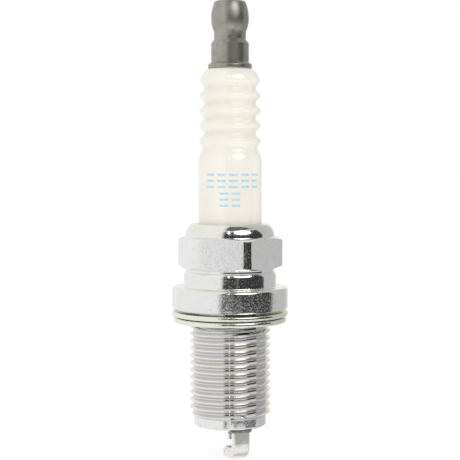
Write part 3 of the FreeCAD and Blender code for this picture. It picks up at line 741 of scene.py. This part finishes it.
@dataclass
class ShellAssembly:
    """The plated shell with its rolled thread, and the captive gasket."""

    thread: RolledThread = field(default_factory=RolledThread)
    plain_radius: float = 6.02
    end_margin: float = 0.01

    def plain_shell(self) -> bmesh.types.BMesh:
        """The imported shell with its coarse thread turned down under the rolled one."""
        shape = merged_shape("metal_shell")
        for corner in shape.verts:
            radius = math.hypot(corner.co.x, corner.co.y) / MM
            height = corner.co.z / MM
            inside = self.thread.end + self.end_margin < height < self.thread.top - self.end_margin
            if inside and radius > self.plain_radius:
                corner.co.x *= self.plain_radius / radius
                corner.co.y *= self.plain_radius / radius
        return shape

    def build(self) -> None:
        """Builds the shell and its thread, and dresses the gasket."""
        shell = PlatedSteel().make()
        # The gasket's and the thread's platings carry a strong painted sheen, warm on faces that look up and
        # cool on faces that look down.
        ring = PlatedSteel(
            name="gasket_plating", warm=(0.90, 0.88, 0.62), cool=(0.78, 0.86, 0.80), bloom_and_sheen=0.8,
            roughness=(0.12, 0.24)).make()
        body = new_piece("metal_shell_skin", self.plain_shell(), shell, Body.PLUG)
        # The thread's plating carries painted shade that darkens it towards its roots.
        thread = new_piece("rolled_thread", self.thread.build(), PlatedSteel(
            name="thread_plating", bloom_and_sheen=0.9, warm=(0.94, 0.88, 0.60), cool=(0.72, 0.70, 0.88),
            roughness=(0.04, 0.09), grain_height=0.0015, speckle=0.0, valley_shade=(6.3, 6.85)).make(),
            Body.PLUG, sharp_degrees=60.0)
        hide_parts("metal_shell")
        smooth_node("gasket", ring, Body.GASKET)


@dataclass
class TerminalAssembly:
    """The removable terminal nut and the stud under it."""

    def build(self) -> None:
        """Dresses the nut and the stud."""
        smooth_node("terminal_nut", SatinSteel().make(), Body.TERMINAL_NUT)
        bright = SatinSteel(name="stud_steel", light=(0.58, 0.57, 0.54), dark=(0.46, 0.45, 0.42))
        smooth_node("terminal_stud", bright.make(), Body.PLUG)


@dataclass
class InsulatorAssembly:
    """The glazed insulator with its marks."""

    marks: PrintedMarks = field(default_factory=PrintedMarks)

    def build(self) -> None:
        """Dresses the insulator and prints its marks."""
        smooth_node("insulator", GlazedAlumina().make(), Body.PLUG)
        self.marks.build(FiredInk().make())


@dataclass
class FiringEnd:
    """The electrodes, their fine-metal tips and the welds. Lengths in millimetres."""

    flash_beads: int = 22
    flash_radius: tuple[float, float] = (0.12, 0.26)
    flash_flatness: float = 0.7
    flash_unevenness: float = 5.3
    flash_sink: float = 0.4
    flash_squareness: float = 1.35
    flash_inner_limit: float = -0.75

    def add_flash(self, metal: bpy.types.Material) -> None:
        """Beads of metal squeezed out round the foot of the strap.

        Args:
            metal: The finish of the beads.
        """
        low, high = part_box("ground_weld")
        middle = (low + high) / 2
        reach = (high - low) / 2
        shape = bmesh.new()
        for index in range(self.flash_beads):
            turn = FULL_TURN * index / self.flash_beads
            swing = (1 + math.sin(self.flash_unevenness * index)) / 2
            small, large = self.flash_radius
            radius = (small + swing * (large - small)) * MM
            across = max(-1.0, min(1.0, self.flash_squareness * math.cos(turn)))
            along = max(self.flash_inner_limit, min(1.0, self.flash_squareness * math.sin(turn)))
            place = Vector((
                middle.x + across * reach.x, middle.y + along * reach.y, high.z - self.flash_sink * radius))
            bead = Matrix.Translation(place) @ Matrix.Diagonal((1.0, 1.0, self.flash_flatness, 1.0))
            bmesh.ops.create_icosphere(shape, subdivisions=2, radius=radius, matrix=bead)
        new_piece("weld_flash", shape, metal, Body.PLUG)

    def build(self) -> None:
        """Dresses each piece at the spark gap."""
        nickel = DrawnAlloy("nickel_alloy", (0.90, 0.885, 0.83), (0.78, 0.77, 0.71), (0.20, 0.32)).make()
        fine = DrawnAlloy("fine_metal", (0.74, 0.74, 0.75), (0.60, 0.60, 0.62), (0.2, 0.34)).make()
        weld = DrawnAlloy("weld_metal", (0.48, 0.46, 0.42), (0.26, 0.25, 0.23), (0.35, 0.6), 0.25).make()
        smooth_node("ground_electrode", nickel, Body.PLUG)
        smooth_node("centre_electrode", nickel, Body.PLUG)
        for node in ("centre_tip", "ground_chip"):
            smooth_node(node, fine, Body.PLUG)
        for node in ("ground_weld", "tip_weld", "chip_weld"):
            smooth_node(node, weld, Body.PLUG)
        self.add_flash(weld)


@dataclass
class SealedCore:
    """The pieces hidden inside: copper, glass seals, resistor, packing and talc."""

    def build(self) -> None:
        """Gives each hidden node its own finish."""
        copper = DrawnAlloy("copper", (0.80, 0.42, 0.27), (0.55, 0.26, 0.16)).make()
        packing = DrawnAlloy("packing_steel", (0.52, 0.52, 0.52), (0.38, 0.38, 0.38)).make()
        glass = DullFill("conductive_glass", (0.14, 0.13, 0.12), (0.22, 0.20, 0.18)).make()
        mass = DullFill("resistor_mass", (0.07, 0.07, 0.07), (0.13, 0.12, 0.12)).make()
        talc = DullFill("talc", (0.80, 0.80, 0.77), (0.70, 0.70, 0.68)).make()
        dressed = {
            "copper_core": copper, "seat_packing": packing, "lower_packing_ring": packing,
            "upper_packing_ring": packing, "upper_glass_seal": glass, "lower_glass_seal": glass,
            "resistor": mass, "talc_fill": talc}
        for node, material in dressed.items():
            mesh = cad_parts[node].data
            mesh.materials.clear()
            mesh.materials.append(material)
            LOG.info("%s: dressed", node)


# Studio


@dataclass
class Sky(Nodes):
    """A white surround with one dark side, which gives the bright metal its contrast.

    Bearings are in degrees to the right of the camera, and heights are sines of the elevation. Each ramp
    gives where it starts and where it ends.
    """

    facing: float
    white: float = 0.92
    soft_white: float = 0.59
    black: float = 0.035
    strip_grey: float = 0.12
    far_grey: float = 0.56
    zenith_grey: float = 0.10
    dark_bearing: tuple[Ramp, Ramp] = ((-23.88, -12.99), (89.14, 95.44))
    dark_rise: tuple[Ramp, Ramp] = ((-0.265, -0.205), (0.64, 0.80))
    wedge_bearing: tuple[Ramp, Ramp] = ((-11.29, -6.71), (1.71, 6.29))
    wedge_rise: Ramp = (-0.20, -0.13)
    strip_bearing: tuple[Ramp, Ramp] = ((14.35, 16.65), (19.35, 21.65))
    far_bearing: tuple[Ramp, Ramp] = ((88.0, 99.46), (140.81, 169.46))
    zenith_rise: Ramp = (0.74, 0.84)

    def __post_init__(self) -> None:
        """Starts an empty world."""
        world = bpy.data.worlds.new("studio")
        bpy.context.scene.world = world
        world.use_nodes = True
        super().__init__(world.node_tree)

    def step(self, source: bpy.types.NodeSocket, ramp: Ramp) -> bpy.types.NodeSocket:
        """Rises softly from 0 to 1 along a ramp."""
        return self.spread(source, ramp, (0.0, 1.0))

    def window(self, source: bpy.types.NodeSocket, ramps: tuple[Ramp, Ramp]) -> bpy.types.NodeSocket:
        """Marks off a stretch of the sky.

        Args:
            source: The bearing or the height.
            ramps: Where the stretch begins and where it ends.

        Returns:
            1 inside the stretch, 0 outside it.
        """
        rising, falling = ramps
        ended = self.sums("SUBTRACT", 1.0, self.step(source, falling))
        return self.sums("MULTIPLY", self.step(source, rising), ended)

    def bearing_and_rise(self) -> tuple[bpy.types.NodeSocket, bpy.types.NodeSocket]:
        """The bearing and the height of the direction that is looked at."""
        turned = self.add("ShaderNodeMapping")
        turned.inputs["Rotation"].default_value = (0, 0, math.radians(-self.facing))
        place = self.add("ShaderNodeTexCoord").outputs["Generated"]
        self.join(place, turned.inputs["Vector"])
        split = self.add("ShaderNodeSeparateXYZ")
        self.join(turned.outputs["Vector"], split.inputs["Vector"])
        ahead = self.sums("MULTIPLY", split.outputs["Y"], -1.0)
        bearing = self.sums("ARCTAN2", split.outputs["X"], ahead)
        return self.sums("DEGREES", bearing), split.outputs["Z"]

    def darken(self, shown: object, share: bpy.types.NodeSocket, grey: float) -> bpy.types.NodeSocket:
        """Takes the brightness down towards a grey.

        Args:
            shown: The brightness so far.
            share: 0 leaves it, 1 takes away the whole step from white to the grey.
            grey: The grey.

        Returns:
            The new brightness.
        """
        return self.sums("SUBTRACT", shown, self.sums("MULTIPLY", share, self.white - grey))

    def build(self) -> None:
        """Links the brightness up. The camera sees white, and matt surfaces are lit evenly."""
        bearing, rise = self.bearing_and_rise()
        sides = self.window(bearing, self.dark_bearing)
        wedge = self.sums("MULTIPLY", self.window(bearing, self.wedge_bearing),
                          self.sums("SUBTRACT", 1.0, self.step(rise, self.wedge_rise)))
        dark = self.sums("MULTIPLY", sides, self.window(rise, self.dark_rise))
        dark = self.sums("MULTIPLY", dark, self.sums("SUBTRACT", 1.0, wedge))
        strip = self.sums("MULTIPLY", dark, self.window(bearing, self.strip_bearing))
        shown = self.darken(self.white, dark, self.black)
        shown = self.sums("ADD", shown, self.sums("MULTIPLY", strip, self.strip_grey))
        zenith = self.sums("MULTIPLY", sides, self.step(rise, self.zenith_rise))
        shown = self.darken(shown, zenith, self.zenith_grey)
        shown = self.darken(shown, self.window(bearing, self.far_bearing), self.far_grey)
        shown = self.sums("MAXIMUM", self.black, shown)
        path = self.add("ShaderNodeLightPath").outputs
        matt = self.sums("SUBTRACT", 1.0, path["Is Glossy Ray"])
        shown = self.sums("MAXIMUM", shown, self.sums("MULTIPLY", matt, self.soft_white))
        shown = self.sums("MAXIMUM", shown, path["Is Camera Ray"])
        background = self.tree.nodes["Background"]
        background.inputs["Color"].default_value = (1.0, 1.0, 1.0, 1.0)
        self.join(shown, background.inputs["Strength"])


@dataclass(frozen=True)
class Softbox:
    """An oval softbox, placed in degrees right of the camera and above the horizon, in metres and watts."""

    name: str
    azimuth: float
    elevation: float
    size: tuple[float, float]
    watts: float
    distance: float = 0.4


@dataclass
class Studio:
    """Floor, sky, softboxes and camera. Lengths in metres, angles in degrees."""

    azimuth: float = -19.0
    eye_height: float = 0.026
    distance: float = 0.215
    focal_mm: float = 99.3
    sensor_mm: float = 36.0
    nearest: float = 0.01
    aim_height: float = 0.0133
    floor_size: float = 6.0
    floor_grey: Colour = (0.45, 0.45, 0.45)
    floor_glow: float = 0.68
    softboxes: tuple[Softbox, ...] = (
        Softbox("key_softbox", 36.0, 36.0, (0.30, 0.20), 0.42),
        Softbox("edge_softbox", -3.5, 34.0, (0.018, 0.18), 0.03))

    def direction(self, azimuth: float, elevation: float) -> Vector:
        """Unit vector from the plug towards a place, by its angle right of the camera."""
        turn = math.radians(self.azimuth + azimuth)
        rise = math.radians(elevation)
        return Vector((math.sin(turn) * math.cos(rise), -math.cos(turn) * math.cos(rise), math.sin(rise)))

    def add_floor(self) -> None:
        """A plain pale floor under the plug."""
        shape = bmesh.new()
        bmesh.ops.create_grid(shape, x_segments=1, y_segments=1, size=self.floor_size / 2)
        bmesh.ops.translate(shape, verts=shape.verts, vec=(0, 0, CAD_BOX[0].z))
        mesh = bpy.data.meshes.new("floor")
        shape.to_mesh(mesh)
        shape.free()
        sheet = NodeSheet("pale_floor")
        sheet.fix(Base_Color=(*self.floor_grey, 1.0), Roughness=0.9, Emission_Color=(1, 1, 1, 1),
                  Emission_Strength=self.floor_glow)
        sheet.see_through_from_behind()
        mesh.materials.append(sheet.material)
        floor = bpy.data.objects.new("floor", mesh)
        floor.visible_glossy = False
        bpy.context.scene.collection.objects.link(floor)

    def add_softbox(self, box: Softbox) -> None:
        """Adds a softbox that faces the plug.

        Args:
            box: Its place, size and power.
        """
        lamp = bpy.data.lights.new(box.name, "AREA")
        lamp.shape = "ELLIPSE"
        lamp.size, lamp.size_y = box.size
        lamp.energy = box.watts
        holder = bpy.data.objects.new(box.name, lamp)
        away = self.direction(box.azimuth, box.elevation)
        holder.location = away * box.distance + Vector((0, 0, self.aim_height))
        holder.rotation_mode = "QUATERNION"
        holder.rotation_quaternion = away.to_track_quat("Z", "Y")
        bpy.context.scene.collection.objects.link(holder)

    def add_camera(self) -> None:
        """The camera, a little above the middle of the plug and looking slightly down."""
        data = bpy.data.cameras.new("camera")
        data.lens = self.focal_mm
        data.sensor_width = self.sensor_mm
        data.clip_start = self.nearest
        camera = bpy.data.objects.new("camera", data)
        level = self.direction(0.0, 0.0)
        camera.location = level * self.distance + Vector((0, 0, self.eye_height))
        aim = Vector((0, 0, self.aim_height))
        camera.rotation_mode = "QUATERNION"
        camera.rotation_quaternion = (aim - camera.location).to_track_quat("-Z", "Y")
        bpy.context.scene.collection.objects.link(camera)
        bpy.context.scene.camera = camera

    def build(self) -> None:
        """Sets the whole studio up."""
        self.add_floor()
        Sky(self.azimuth).build()
        for box in self.softboxes:
            self.add_softbox(box)
        self.add_camera()
        bpy.context.scene.view_settings.view_transform = "Standard"


def main() -> None:
    """Builds the plug and the studio."""
    logging.basicConfig(level=logging.INFO, format="%(name)s: %(message)s")
    for assembly in (
            ShellAssembly(), InsulatorAssembly(), TerminalAssembly(), FiringEnd(), SealedCore(), Studio()):
        assembly.build()


if __name__ == "__main__":
    main()
